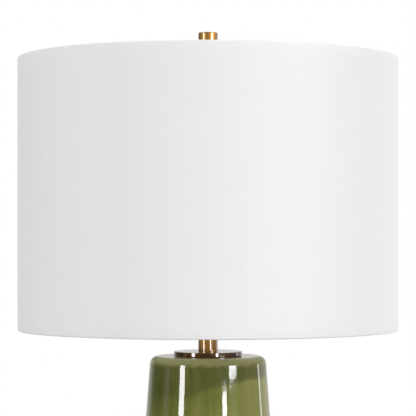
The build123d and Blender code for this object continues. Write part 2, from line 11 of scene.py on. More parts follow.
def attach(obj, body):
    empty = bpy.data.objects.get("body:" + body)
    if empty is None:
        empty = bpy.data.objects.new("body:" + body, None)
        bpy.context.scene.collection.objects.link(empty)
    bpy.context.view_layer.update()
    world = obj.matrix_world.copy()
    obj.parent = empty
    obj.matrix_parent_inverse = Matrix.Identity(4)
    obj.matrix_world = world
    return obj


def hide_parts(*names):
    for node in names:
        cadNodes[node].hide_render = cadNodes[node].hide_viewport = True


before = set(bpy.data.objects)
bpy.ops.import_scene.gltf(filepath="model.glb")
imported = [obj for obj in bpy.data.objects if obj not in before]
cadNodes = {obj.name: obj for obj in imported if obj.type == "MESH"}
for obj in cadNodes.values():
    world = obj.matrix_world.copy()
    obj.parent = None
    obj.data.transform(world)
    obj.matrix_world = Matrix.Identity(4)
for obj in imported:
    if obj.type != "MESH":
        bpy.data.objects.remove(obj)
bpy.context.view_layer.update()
mm = 0.001
fullTurn = 2 * math.pi
noiseSpan = (0.3, 0.7)  # nearly all of a noise's values lie between these
print("frame loaded,", len(cadNodes), "CAD nodes")


# helpers for shader nodes
def startMaterial(name):
    material = bpy.data.materials.new(name)
    material.use_nodes = True
    tree = material.node_tree
    return material, tree, tree.nodes["Principled BSDF"]


def fill(tree, node, sockets):
    # an output is linked to its socket, anything else is set on it
    for key, value in sockets.items():
        if isinstance(value, bpy.types.NodeSocket):
            tree.links.new(value, node.inputs[key])
        else:
            node.inputs[key].default_value = value


def put(tree, kind, sockets=None, **settings):
    node = tree.nodes.new(kind)
    for key, value in settings.items():
        setattr(node, key, value)
    fill(tree, node, sockets or {})
    return node


def calc(tree, operation, first, second=0.0):
    return put(tree, "ShaderNodeMath", {0: first, 1: second}, operation=operation).outputs[0]


def spread(tree, value, low, high, start=0.0, end=1.0, smooth=False):
    kind = "SMOOTHSTEP" if smooth else "LINEAR"
    sockets = {"Value": value, "From Min": low, "From Max": high, "To Min": start, "To Max": end}
    return put(tree, "ShaderNodeMapRange", sockets, interpolation_type=kind).outputs[0]


def blendColours(tree, factor, first, second, mode="MIX"):
    first, second = (c if isinstance(c, bpy.types.NodeSocket) else (*c, 1) for c in (first, second))
    sockets = {0: factor, 6: first, 7: second}
    node = put(tree, "ShaderNodeMix", data_type="RGBA", blend_type=mode)
    fill(tree, node, sockets)
    return node.outputs[2]


def colourRamp(tree, factor, stops):
    node = put(tree, "ShaderNodeValToRGB", {"Fac": factor})
    elements = node.color_ramp.elements
    while len(elements) < len(stops):
        elements.new(0.5)
    for element, (position, colour) in zip(elements, stops):
        element.position = position
        element.color = (*colour, 1)
    return node.outputs["Color"]


def objectCoords(tree, scale=(1, 1, 1)):
    coords = put(tree, "ShaderNodeTexCoord").outputs["Object"]
    return put(tree, "ShaderNodeMapping", {"Vector": coords, "Scale": scale}).outputs[0]


def objectAxes(tree):
    return put(tree, "ShaderNodeSeparateXYZ", {"Vector": objectCoords(tree)}).outputs


def axisDistance(tree):
    # how far a point is from the lamp's upright axis
    inPlan = {0: objectCoords(tree), 1: (1, 1, 0)}
    flat = put(tree, "ShaderNodeVectorMath", inPlan, operation="MULTIPLY")
    return put(tree, "ShaderNodeVectorMath", {0: flat.outputs[0]}, operation="LENGTH").outputs["Value"]


def noiseAt(tree, vector, scale, detail=3.0, roughness=0.5):
    sockets = {"Vector": vector, "Scale": scale, "Detail": detail, "Roughness": roughness}
    return put(tree, "ShaderNodeTexNoise", sockets).outputs["Fac"]


def bumpFrom(tree, height, strength, distance):
    sockets = {"Height": height, "Strength": strength, "Distance": distance}
    return put(tree, "ShaderNodeBump", sockets).outputs["Normal"]


# materials
glazeLook = {
    "darkRun": (0.136, 0.163, 0.031),
    "olive": (0.212, 0.230, 0.047),
    "paleRun": (0.272, 0.270, 0.075),
    "runStops": (0.36, 0.5, 0.62),
    "runGrain": 125,
    "runStretch": 0.045,
    "runShare": 0.65,
    "driftGrain": 17,
    "driftStretch": 0.3,
    "paintedLitSide": (0.310, 0.285, 0.100),  # painted light: the right side, where the key lamp falls, is made paler
    "paintedLitReach": (0.018, 0.046),
    "paintedLitAmount": 0.5,
    "paintedShadeSide": (0.104, 0.128, 0.028),  # painted shade: the left side, away from the key lamp, is made darker
    "paintedShadeReach": (-0.022, -0.054),
    "paintedShadeAmount": 0.42,
    "shoulder": (0.555, 0.540, 0.225),  # khaki over the shoulder: partly where the glaze thins and breaks, partly a painted reflection of the shade's inside
    "shoulderRise": (0.3455, 0.3525),
    "shoulderAmount": 0.85,
    "ragged": 0.006,
    "raggedGrain": 160,
    "clay": (0.520, 0.430, 0.320),
    "clayDark": 0.72,
    "clayRadius": 0.0592,
    "clayTop": 0.034,
    "clayLine": 0.0078,
    "clayRough": 0.85,
    "clayGrit": 5.0,
    "gritGrain": 900,
    "shine": 0.045,
    "topShine": 0.13,
    "topRise": (0.3505, 0.3528),
    "waveGrain": 70,
    "peel": 0.45,
    "peelGrain": 450,
    "relief": 0.25,
    "depth": 0.1 * mm,
}


def makeGlaze():
    look = glazeLook
    material, tree, shader = startMaterial("oliveGlaze")
    place = objectAxes(tree)
    # narrow runs down the wall over a broad drift
    drawnDown = objectCoords(tree, (1, 1, look["runStretch"]))
    runs = noiseAt(tree, drawnDown, look["runGrain"], detail=6, roughness=0.62)
    drift = noiseAt(tree, objectCoords(tree, (1, 1, look["driftStretch"])), look["driftGrain"], detail=2)
    runs = calc(tree, "MULTIPLY", runs, look["runShare"])
    drift = calc(tree, "MULTIPLY", drift, 1 - look["runShare"])
    colours = (look["darkRun"], look["olive"], look["paleRun"])
    body = colourRamp(tree, calc(tree, "ADD", runs, drift), tuple(zip(look["runStops"], colours)))
    # painted light: the glaze turns paler towards the lit right side
    paintedLightMask = spread(tree, place["X"], *look["paintedLitReach"], 0.0, look["paintedLitAmount"], smooth=True)
    body = blendColours(tree, paintedLightMask, body, look["paintedLitSide"])
    # painted shade: the glaze turns darker towards the shaded left side
    paintedShadeMask = spread(tree, place["X"], *look["paintedShadeReach"], 0.0, look["paintedShadeAmount"], smooth=True)
    body = blendColours(tree, paintedShadeMask, body, look["paintedShadeSide"])
    # the break over the shoulder and the wiped line at the foot are ragged
    ragged = noiseAt(tree, objectCoords(tree), look["raggedGrain"], detail=4)
    brokenHeight = calc(tree, "ADD", place["Z"], calc(tree, "MULTIPLY", ragged, look["ragged"]))
    # the khaki shoulder is partly the glaze breaking and partly a painted reflection of the shade's inside
    shoulderBreakAndReflection = spread(tree, brokenHeight, *look["shoulderRise"], 0.0, look["shoulderAmount"], smooth=True)
    glazed = blendColours(tree, shoulderBreakAndReflection, body, look["shoulder"])
    # bare clay under the foot and inside its hollow
    near = calc(tree, "LESS_THAN", axisDistance(tree), look["clayRadius"])
    inside = calc(tree, "MULTIPLY", near, calc(tree, "LESS_THAN", place["Z"], look["clayTop"]))
    wiped = calc(tree, "LESS_THAN", brokenHeight, look["clayLine"])
    bare = calc(tree, "MAXIMUM", inside, wiped)
    grit = noiseAt(tree, objectCoords(tree), look["gritGrain"], detail=5, roughness=0.7)
    clay = blendColours(tree, grit, look["clay"], tuple(c * look["clayDark"] for c in look["clay"]))
    # the flat top is duller than the wall, so it doesn't mirror the disc
    onTop = spread(tree, place["Z"], *look["topRise"], look["shine"], look["topShine"], smooth=True)
    rough = calc(tree, "MAXIMUM", onTop, calc(tree, "MULTIPLY", bare, look["clayRough"]))
    # long soft waves, a fine orange peel, and grit on the clay
    waves = noiseAt(tree, objectCoords(tree), look["waveGrain"], detail=2)
    peel = noiseAt(tree, objectCoords(tree), look["peelGrain"], detail=2)
    peel = calc(tree, "MULTIPLY", peel, look["peel"])
    coarse = calc(tree, "MULTIPLY", calc(tree, "MULTIPLY", grit, bare), look["clayGrit"])
    height = calc(tree, "ADD", calc(tree, "ADD", waves, peel), coarse)
    sockets = {
        "Base Color": blendColours(tree, bare, glazed, clay),
        "Roughness": rough,
        "IOR": 1.5,
        "Normal": bumpFrom(tree, height, look["relief"], look["depth"]),
    }
    fill(tree, shader, sockets)
    return material


def makeMetal(name, dark, light, shine, brush=(1, 1, 1), grain=400, wear=0.08, relief=0.12):
    material, tree, shader = startMaterial(name)
    stain = noiseAt(tree, objectCoords(tree), 90, detail=4, roughness=0.6)
    strokes = noiseAt(tree, objectCoords(tree, brush), grain, detail=3)
    sockets = {
        "Base Color": colourRamp(tree, stain, ((0.32, dark), (0.68, light))),
        "Roughness": spread(tree, strokes, *noiseSpan, shine - wear / 2, shine + wear),
        "Metallic": 1.0,
        "Normal": bumpFrom(tree, strokes, relief, 0.04 * mm),
    }
    fill(tree, shader, sockets)
    return material


agedLook = {
    "dark": (0.335, 0.170, 0.027),
    "light": (0.420, 0.220, 0.042),
    "shine": 0.54,
    "grooves": 30,  # how much finer the turning marks are along the axis than around it
    "grain": 260,
    "wear": 0.05,
    "relief": 0.012,
    "rim": (0.24, 0.19, 0.12),  # how much of the colour the darkening on the disc's rim leaves
    "rimFade": (0.0006, 0.0002),  # metres in from the rim, where the darkening begins and is full
    "lacquer": 0.04,
    "lacquerIor": 1.62,
    "turned": 0.30,  # how far the lathe's fine grooves draw the shine out along the axis
}


def makeAgedBrass(name, rimRadius=None):
    # lathe-turned brass under clear lacquer, with the disc's rim made darker
    look = agedLook
    brush = (1, 1, look["grooves"])
    material = makeMetal(
        name,
        look["dark"],
        look["light"],
        look["shine"],
        brush,
        look["grain"],
        look["wear"],
        look["relief"],
    )
    tree = material.node_tree
    shader = tree.nodes["Principled BSDF"]
    sockets = {
        "Coat Weight": 1.0,
        "Coat Roughness": look["lacquer"],
        "Coat IOR": look["lacquerIor"],
        "Anisotropic": look["turned"],
        "Anisotropic Rotation": 0.25,
        "Tangent": put(tree, "ShaderNodeTangent", direction_type="RADIAL", axis="Z").outputs["Tangent"],
    }
    if rimRadius:
        colour = shader.inputs["Base Color"].links[0].from_socket
        begins, isFull = (rimRadius - inset for inset in look["rimFade"])
        onRim = spread(tree, axisDistance(tree), begins, isFull, smooth=True)
        rimDarkened = blendColours(tree, 1.0, colour, look["rim"], "MULTIPLY")
        sockets["Base Color"] = blendColours(tree, onRim, colour, rimDarkened)
    fill(tree, shader, sockets)
    return material


def makeThreaded(name, dark, light, shine, pitch):
    # a rolled screw thread drawn as a helix in the bump
    material = makeMetal(name, dark, light, shine)
    tree = material.node_tree
    place = objectAxes(tree)
    angle = calc(tree, "ARCTAN2", place["Y"], place["X"])
    climb = calc(tree, "MULTIPLY", place["Z"], fullTurn / pitch)
    ridge = calc(tree, "SINE", calc(tree, "SUBTRACT", climb, angle))
    fill(tree, tree.nodes["Principled BSDF"], {"Normal": bumpFrom(tree, ridge, 0.8, pitch * 0.3)})
    return material


def makePlain(name, dark, light, shine, size=140, relief=0.1, depth=0.1 * mm):
    material, tree, shader = startMaterial(name)
    mottle = noiseAt(tree, objectCoords(tree), size, detail=5, roughness=0.6)
    skin = noiseAt(tree, objectCoords(tree), size * 9, detail=3)
    sockets = {
        "Base Color": colourRamp(tree, mottle, tuple(zip(noiseSpan, (dark, light)))),
        "Roughness": spread(tree, mottle, *noiseSpan, shine * 0.85, shine * 1.15),
        "Normal": bumpFrom(tree, skin, relief, depth),
    }
    fill(tree, shader, sockets)
    return material


linenLook = {
    "warm": (0.868, 0.867, 0.864),
    "cool": (0.845, 0.845, 0.843),
    "gap": (0.95, 0.95, 0.948),  # how much of the colour the gaps between threads leave
    "thread": 0.62 * mm,
    "wander": 0.6 * mm,
    "wanderGrain": 60.0,
    "slubAlong": 28,
    "slubAcross": 900,
    "slubRelief": 0.8,
    "relief": 0.30,
    "depth": 0.12 * mm,
    "shine": (0.52, 0.62),
    "specular": 0.18,
    "sheen": 0.05,
}


def makeLinen():
    look = linenLook
    material, tree, shader = startMaterial("whiteLinen")
    place = put(tree, "ShaderNodeUVMap", uv_map="cloth").outputs["UV"]
    # threads wander a little, so the weave is never a perfect grid
    noiseSockets = {"Vector": place, "Scale": look["wanderGrain"], "Detail": 2.0}
    noise = put(tree, "ShaderNodeTexNoise", noiseSockets).outputs["Color"]
    reach = (look["wander"], look["wander"], 0)
    shift = put(tree, "ShaderNodeVectorMath", {0: noise, 1: reach}, operation="MULTIPLY").outputs[0]
    woven = put(tree, "ShaderNodeVectorMath", {0: place, 1: shift}, operation="ADD").outputs[0]
    parts = put(tree, "ShaderNodeSeparateXYZ", {"Vector": woven}).outputs
    across = calc(tree, "MULTIPLY", parts["X"], math.pi / look["thread"])
    along = calc(tree, "MULTIPLY", parts["Y"], math.pi / look["thread"])
    over = calc(tree, "MULTIPLY", calc(tree, "COSINE", across), calc(tree, "COSINE", along))
    warpOver = spread(tree, over, -0.5, 0.5)
    weftOver = calc(tree, "SUBTRACT", 1.0, warpOver)
    warp = calc(tree, "MULTIPLY", calc(tree, "ABSOLUTE", calc(tree, "SINE", across)), warpOver)
    weft = calc(tree, "MULTIPLY", calc(tree, "ABSOLUTE", calc(tree, "SINE", along)), weftOver)
    weave = calc(tree, "ADD", warp, weft)
    # slubs: thicker, slightly darker lengths of single threads both ways
    weftScale = (look["slubAlong"], look["slubAcross"], 1)
    warpScale = (look["slubAcross"], look["slubAlong"], 1)
    weftSlub = put(tree, "ShaderNodeMapping", {"Vector": place, "Scale": weftScale}).outputs[0]
    warpSlub = put(tree, "ShaderNodeMapping", {"Vector": place, "Scale": warpScale}).outputs[0]
    slubs = [noiseAt(tree, drawn, 1.0, detail=2) for drawn in (weftSlub, warpSlub)]
    slubs = calc(tree, "ADD", *slubs)
    slubs = calc(tree, "MULTIPLY", slubs, 0.5)
    colour = colourRamp(tree, slubs, ((0.36, look["cool"]), (0.60, look["warm"])))
    gaps = blendColours(tree, spread(tree, weave, 0.0, 0.55), look["gap"], (1, 1, 1))
    height = calc(tree, "ADD", weave, calc(tree, "MULTIPLY", slubs, look["slubRelief"]))
    sockets = {
        "Base Color": blendColours(tree, 1.0, colour, gaps, "MULTIPLY"),
        "Roughness": spread(tree, slubs, *noiseSpan, *look["shine"]),
        "Normal": bumpFrom(tree, height, look["relief"], look["depth"]),
        "Specular IOR Level": look["specular"],
        "Sheen Weight": look["sheen"],
        "Sheen Roughness": 0.4,
    }
    fill(tree, shader, sockets)
    return material


bulbLook = {
    "dark": (0.86, 0.86, 0.83),
    "light": (0.91, 0.91, 0.89),
    "shine": (0.45, 0.55),
    "coat": 0.03,
}


def makeBulbGlass():
    look = bulbLook
    material, tree, shader = startMaterial("frostedGlass")
    powder = noiseAt(tree, objectCoords(tree), 60, detail=3)
    sockets = {
        "Base Color": colourRamp(tree, powder, tuple(zip(noiseSpan, (look["dark"], look["light"])))),
        "Roughness": spread(tree, powder, *noiseSpan, *look["shine"]),
        "Coat Weight": 1.0,
        "Coat Roughness": look["coat"],
    }
    fill(tree, shader, sockets)
    return material


# the darker and the lighter tone of each finish
tones = {
    "brass": ((0.66, 0.44, 0.17), (0.76, 0.54, 0.24)),
    "holder": ((0.62, 0.42, 0.17), (0.72, 0.52, 0.24)),
    "zinc": ((0.44, 0.44, 0.43), (0.56, 0.56, 0.55)),
    "aluminium": ((0.60, 0.60, 0.61), (0.72, 0.72, 0.73)),
    "felt": ((0.008, 0.012, 0.009), (0.020, 0.028, 0.021)),
    "rubber": ((0.012, 0.012, 0.012), (0.022, 0.022, 0.022)),
    "phenolic": ((0.014, 0.012, 0.011), (0.028, 0.025, 0.022)),
    "knob": ((0.010, 0.009, 0.008), (0.018, 0.016, 0.014)),
    "fused": ((0.010, 0.010, 0.010), (0.020, 0.020, 0.020)),
    "paper": ((0.11, 0.075, 0.040), (0.19, 0.135, 0.080)),
    "liner": ((0.80, 0.80, 0.78), (0.84, 0.84, 0.825)),
    "enamel": ((0.74, 0.74, 0.72), (0.77, 0.77, 0.755)),
}
pipePitch = 0.94 * mm
bulbPitch = 3.63 * mm
oliveGlaze = makeGlaze()
whiteLinen = makeLinen()
frostedGlass = makeBulbGlass()
agedBrass = makeAgedBrass("agedBrass")
discBrass = makeAgedBrass("discBrass", rimRadius=0.0365)
brightBrass = makeMetal("brightBrass", *tones["brass"], shine=0.16, brush=(1, 1, 12), grain=260)
zincSteel = makeMetal("zincSteel", *tones["zinc"], shine=0.32)
lampMetal = makeMetal("rolledAluminium", *tones["aluminium"], shine=0.28)
pipeThread = makeThreaded("pipeThread", *tones["zinc"], shine=0.3, pitch=pipePitch)
holderThread = makeThreaded("holderThread", *tones["holder"], shine=0.2, pitch=bulbPitch)
baseThread = makeThreaded("baseThread", *tones["aluminium"], shine=0.28, pitch=bulbPitch)
pressedFelt = makePlain("pressedFelt", *tones["felt"], shine=0.95, size=500, relief=0.9, depth=0.6 * mm)
pressedPaper = makePlain("pressedPaper", *tones["paper"], shine=0.85, size=320, relief=0.5, depth=0.2 * mm)
blackRubber = makePlain("blackRubber", *tones["rubber"], shine=0.55, size=200)
phenolic = makePlain("mouldedPhenolic", *tones["phenolic"], shine=0.45, size=260)
knobPlastic = makePlain("knobPlastic", *tones["knob"], shine=0.22, size=260, relief=0.05)
coneGlass = makePlain("fusedBlack", *tones["fused"], shine=0.15, size=300, relief=0.05)
styreneLiner = makePlain("styreneLiner", *tones["liner"], shine=0.42, size=30, relief=0.12)
whiteEnamel = makePlain("whiteEnamel", *tones["enamel"], shine=0.34, size=60, relief=0.04, depth=0.05 * mm)
print("materials ready")


# helpers for meshes
def addLine(bm, corners, closed=False):
    # corners are (radius, height, rounding) in mm, drawn in the XZ plane
    verts = [bm.verts.new((radius * mm, 0, height * mm)) for radius, height, _ in corners]
    for first, second in zip(verts, verts[1:]):
        bm.edges.new((first, second))
    if closed:
        bm.edges.new((verts[-1], verts[0]))
    for vert, (_, _, rounding) in zip(verts, corners):
        if rounding:
            bmesh.ops.bevel(
                bm,
                geom=[vert],
                offset=rounding * mm,
                offset_type="OFFSET",
                affect="VERTICES",
                segments=6,
                profile=0.5,
                material=-1,
            )


def spinLine(bm, segments):
    bmesh.ops.spin(
        bm,
        geom=bm.verts[:] + bm.edges[:],
        cent=(0, 0, 0),
        axis=(0, 0, 1),
        angle=fullTurn,
        steps=segments,
        use_merge=True,
    )
    bmesh.ops.remove_doubles(bm, verts=bm.verts[:], dist=0.002 * mm)
    bmesh.ops.recalc_face_normals(bm, faces=bm.faces[:])


def softenEdges(bm, limit=32):
    # smooth shading, with sharp edges where faces meet at more than the limit in degrees
    for face in bm.faces:
        face.smooth = True
    for edge in bm.edges:
        if len(edge.link_faces) == 2 and edge.calc_face_angle() > math.radians(limit):
            edge.smooth = False


def addObject(name, bm):
    mesh = bpy.data.meshes.new(name)
    bm.to_mesh(mesh)
    bm.free()
    added = bpy.data.objects.new(name, mesh)
    bpy.context.scene.collection.objects.link(added)
    return added


def finishPiece(name, bm, body, material, replaced=()):
    piece = addObject(name, bm)
    piece.data.materials.append(material)
    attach(piece, body)
    if replaced:
        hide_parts(*replaced)
    return piece


def addWeightedNormals(piece):
    # flat and straight parts shade as flat and straight right up to their small roundings
    piece.modifiers.new("evenNormals", "WEIGHTED_NORMAL").keep_sharp = True


def addWall(piece, name, thickness, side):
    wall = piece.modifiers.new(name, "SOLIDIFY")
    wall.thickness = thickness * mm
    wall.offset = side
    return wall


def addWornEdges(piece, name, width, limit=30):
    bevel = piece.modifiers.new(name, "BEVEL")
    bevel.width = width * mm
    bevel.segments = 2
    bevel.limit_method = "ANGLE"
    bevel.angle_limit = math.radians(limit)


def turnPiece(name, corners, body, material, replaced, closed=True, segments=96):
    bm = bmesh.new()
    addLine(bm, corners, closed)
    spinLine(bm, segments)
    softenEdges(bm)
    piece = finishPiece(name, bm, body, material, replaced)
    addWeightedNormals(piece)


def smoothCopy(node, name, body, material, edge=0.15):
    # a CAD node's own shape, merged and shaded smooth, with small worn edges
    bm = bmesh.new()
    bm.from_mesh(cadNodes[node].data)
    bmesh.ops.remove_doubles(bm, verts=bm.verts[:], dist=0.001 * mm)
    flat = math.radians(1)
    bmesh.ops.dissolve_limit(bm, angle_limit=flat, verts=bm.verts[:], edges=bm.edges[:])
    bmesh.ops.dissolve_degenerate(bm, dist=0.001 * mm, edges=bm.edges[:])
    softenEdges(bm)
    piece = finishPiece(name, bm, body, material, (node,))
    if edge:
        addWornEdges(piece, "wornEdges", edge, 40)
    addWeightedNormals(piece)


# glazed jar and its felt
jar = {
    "bottom": 2.0,
    "top": 353.0,
    "shoulderRadius": 61.75,
    "rounding": 7.5,
    "taper": 4.26,  # degrees a side
    "straight": 258.0,  # the wall is straight this far down, then curves in to the foot
    "curveSteps": 28,
    "footRadius": 60.0,
    "footTop": 20.0,
    "footEdge": 1.0,
    "wall": 6.0,
    "recessRadius": 51.0,
    "recessTop": 28.0,
    "recessEdge": 0.8,
    "recessCorner": 2.0,
    "floorTop": 35.0,
    "floorInset": 1.0,
    "pipeHole": 5.1,
    "outletRadius": 5.0,
    "outletLevel": 11.0,
    "drillCentre": 56.0,
    "drillLength": 20.0,
    "segments": 192,
}
felt = {"outer": 58.0, "inner": 52.0, "bottom": 0, "top": 2.0, "rounding": 0.6, "segments": 144}


def curveCorners(bend, foot, lean, inset=0.0):
    # the lower wall: an arc that leaves the straight wall smoothly and ends at the foot
    chord = foot - bend
    inward = Vector((-math.cos(lean), -math.sin(lean)))
    radius = chord.length_squared / (2 * chord.dot(inward))
    centre = bend + inward * radius
    start = math.atan2(bend.y - centre.y, bend.x - centre.x)
    end = math.atan2(foot.y - centre.y, foot.x - centre.x)
    reach = radius - inset
    corners = []
    for step in range(jar["curveSteps"] + 1):
        angle = start + (end - start) * step / jar["curveSteps"]
        corners.append((centre.x + reach * math.cos(angle), centre.y + reach * math.sin(angle), 0))
    return corners


def buildJar():
    lean = math.radians(jar["taper"])
    hole = jar["pipeHole"]
    bendRadius = jar["shoulderRadius"] + jar["straight"] * math.tan(lean)
    bend = Vector((bendRadius, jar["top"] - jar["straight"]))
    foot = Vector((jar["footRadius"], jar["footTop"]))
    lowest = jar["floorTop"] + jar["floorInset"]
    inner = [corner for corner in curveCorners(bend, foot, lean, jar["wall"]) if corner[1] > lowest]
    ceiling = jar["top"] - jar["wall"]
    innerTop = inner[0][0] - (ceiling - inner[0][1]) * math.tan(lean)
    corners = [
        (hole, jar["top"], 0),
        (jar["shoulderRadius"], jar["top"], jar["rounding"]),
        *curveCorners(bend, foot, lean),
        (jar["footRadius"], jar["bottom"], jar["footEdge"]),
        (jar["recessRadius"], jar["bottom"], jar["recessEdge"]),
        (jar["recessRadius"], jar["recessTop"], jar["recessCorner"]),
        (hole, jar["recessTop"], 0),
        (hole, jar["floorTop"], 0),
        (inner[-1][0] - jar["floorInset"], jar["floorTop"], 0),
        *inner[::-1],
        (innerTop, ceiling, 0),
        (hole, ceiling, 0),
    ]
    bm = bmesh.new()
    addLine(bm, corners, True)
    spinLine(bm, jar["segments"])
    softenEdges(bm, 40)
    piece = finishPiece("glazedJar", bm, "base", oliveGlaze, ("ceramic_body",))
    cutOutlet(piece)
    addWeightedNormals(piece)


def cutOutlet(piece):
    # the cord's hole at the back of the foot
    place = Matrix.Translation((0, jar["drillCentre"] * mm, jar["outletLevel"] * mm))
    bm = bmesh.new()
    bmesh.ops.create_cone(
        bm,
        cap_ends=True,
        segments=48,
        radius1=jar["outletRadius"] * mm,
        radius2=jar["outletRadius"] * mm,
        depth=jar["drillLength"] * mm,
        matrix=place @ Matrix.Rotation(math.pi / 2, 4, "X"),
    )
    drill = addObject("outletDrill", bm)
    cut = piece.modifiers.new("outlet", "BOOLEAN")
    cut.operation = "DIFFERENCE"
    cut.solver = "EXACT"
    cut.object = drill
    bpy.context.view_layer.update()
    done = bpy.data.meshes.new_from_object(piece.evaluated_get(bpy.context.evaluated_depsgraph_get()))
    piece.modifiers.clear()
    bm = bmesh.new()
    bm.from_mesh(done)
    bmesh.ops.remove_doubles(bm, verts=bm.verts[:], dist=0.004 * mm)
    bmesh.ops.dissolve_degenerate(bm, dist=0.004 * mm, edges=bm.edges[:])
    bm.to_mesh(done)
    bm.free()
    piece.data = done
    bpy.data.objects.remove(drill)


buildJar()
turnPiece(
    "footFelt",
    [
        (felt["inner"], felt["bottom"], felt["rounding"]),
        (felt["outer"], felt["bottom"], felt["rounding"]),
        (felt["outer"], felt["top"], felt["rounding"]),
        (felt["inner"], felt["top"], felt["rounding"]),
    ],
    "base",
    pressedFelt,
    ("felt_ring",),
    segments=felt["segments"],
)
print("jar and felt done")

# brass disc, neck and finial
disc = {
    "hole": 5.1,
    "radius": 36.5,
    "bottom": 353.8,
    "top": 358.0,
    "edge": 0.45,
    "lipRadius": 34.8,
    "lipBottom": 353.35,  # the rim's lip hides the gasket
    "segments": 160,
}
neck = {"bore": 8.9, "radius": 10.4, "bottom": 358.0, "top": 405.0, "edge": 0.35, "jointEdge": 0.12}
cap = {
    "hole": 5.1,
    "radius": 10.4,
    "plugRadius": 8.8,  # the part that sits in the neck
    "bottom": 401.0,
    "joint": 405.0,
    "top": 407.0,
    "edge": 0.35,
    "jointEdge": 0.12,
}
finial = {
    "radius": 10.4,
    "bottom": 664.0,
    "top": 699.2,
    "edge": 0.9,
    "footEdge": 0.5,
    "bore": 3.15,
    "boreTop": 676.0,
}
turnPiece(
    "brassDisc",
    [
        (disc["hole"], disc["bottom"], 0),
        (disc["lipRadius"], disc["bottom"], 0),
        (disc["lipRadius"], disc["lipBottom"], 0),
        (disc["radius"], disc["lipBottom"], disc["edge"]),
        (disc["radius"], disc["top"], disc["edge"]),
        (disc["hole"], disc["top"], 0),
    ],
    "base",
    discBrass,
    ("brass_disc",),
    segments=disc["segments"],
)
turnPiece(
    "neckTube",
    [
        (neck["bore"], neck["bottom"], 0),
        (neck["radius"], neck["bottom"], neck["edge"]),
        (neck["radius"], neck["top"], neck["jointEdge"]),
        (neck["bore"], neck["top"], 0),
    ],
    "base",
    agedBrass,
    ("neck_tube",),
)
turnPiece(
    "neckCap",
    [
        (cap["hole"], cap["bottom"], 0),
        (cap["plugRadius"], cap["bottom"], 0),
        (cap["plugRadius"], cap["joint"], 0),
        (cap["radius"], cap["joint"], cap["jointEdge"]),
        (cap["radius"], cap["top"], cap["edge"]),
        (cap["hole"], cap["top"], 0),
    ],
    "base",
    agedBrass,
    ("neck_cap",),
)
turnPiece(
    "finialDrum",
    [
        (0, finial["boreTop"], 0),
        (finial["bore"], finial["boreTop"], 0),
        (finial["bore"], finial["bottom"], 0),
        (finial["radius"], finial["bottom"], finial["footEdge"]),
        (finial["radius"], finial["top"], finial["edge"]),
        (0, finial["top"], 0),
    ],
    "finial",
    agedBrass,
    ("finial",),
    closed=False,
)
print("brass trim done")

# harp, its saddle and the sleeves that lock its legs
ferrule = {
    "radius": 3.7,
    "bore": 2.0,
    "bottom": 423.2,
    "top": 439.2,
    "edge": 0.5,
    "boreEdge": 0.15,
    "waist": 3.35,
    "waistHalf": 5.0,
    "waistStep": 0.5,
    "waistEdge": 0.3,
    "spacing": 60.0,
    "segments": 48,
}


def buildFerrule(name, node, body, side):
    middle = (ferrule["bottom"] + ferrule["top"]) / 2
    waistHalf = ferrule["waistHalf"]
    shoulderHalf = waistHalf + ferrule["waistStep"]
    corners = [
        (ferrule["bore"], ferrule["bottom"], ferrule["boreEdge"]),
        (ferrule["radius"], ferrule["bottom"], ferrule["edge"]),
        (ferrule["radius"], middle - shoulderHalf, ferrule["waistEdge"]),
        (ferrule["waist"], middle - waistHalf, ferrule["waistEdge"]),
        (ferrule["waist"], middle + waistHalf, ferrule["waistEdge"]),
        (ferrule["radius"], middle + shoulderHalf, ferrule["waistEdge"]),
        (ferrule["radius"], ferrule["top"], ferrule["edge"]),
        (ferrule["bore"], ferrule["top"], ferrule["boreEdge"]),
    ]
    bm = bmesh.new()
    addLine(bm, corners, True)
    spinLine(bm, ferrule["segments"])
    softenEdges(bm)
    bmesh.ops.translate(bm, vec=(side * ferrule["spacing"] / 2 * mm, 0, 0), verts=bm.verts[:])
    finishPiece(name, bm, body, brightBrass, (node,))


smoothCopy("harp_saddle", "harpSaddle", "base", brightBrass, 0.25)
smoothCopy("harp_bow", "harpWire", "base", brightBrass, 0.2)
smoothCopy("saddle_nut", "saddleNut", "base", brightBrass)
buildFerrule("ferruleLeft", "harp_ferrule_left", "ferrule_left", -1)
buildFerrule("ferruleRight", "harp_ferrule_right", "ferrule_right", 1)
print("harp done")

# lamp socket, switch and foot hardware, with the width of their worn edges in mm
smoothCopy("socket_cap", "socketCap", "base", brightBrass, 0.25)
smoothCopy("socket_shell", "socketShell", "base", brightBrass)
smoothCopy("cap_set_screw", "capScrew", "base", zincSteel, 0.12)
smoothCopy("shell_insulator", "paperTube", "base", pressedPaper, 0)
smoothCopy("socket_interior", "socketBlock", "base", phenolic, 0.3)
smoothCopy("terminal_screws", "terminalScrews", "base", brightBrass)
smoothCopy("screw_shell", "holderShell", "base", holderThread, 0.1)
smoothCopy("turn_knob", "switchKnob", "switch", knobPlastic)
smoothCopy("cord_grommet", "outletGrommet", "base", blackRubber, 0.2)
smoothCopy("bottom_washer", "footWasher", "base", zincSteel, 0.2)
smoothCopy("lock_washer", "splitWasher", "base", zincSteel, 0.2)
smoothCopy("bottom_nut", "footNut", "base", zincSteel, 0.2)
print("socket and hardware done")

# bulb
bulbBase = {
    "bottom": 455.537,
    "top": 477.537,
    "radius": 13.0,
    "bore": 12.5,
    "footRoll": 0.4,
    "rimRoll": 0.22,
    "boreRoll": 0.2,
}
bulbGlass = {
    "bottom": 473.537,
    "neckRadius": 12.3,
    "neckTop": 484.037,
    "neckRound": 4.0,
    "globeRadius": 30.0,
    "globeTop": 560.837,
    "globeSteps": 30,
}


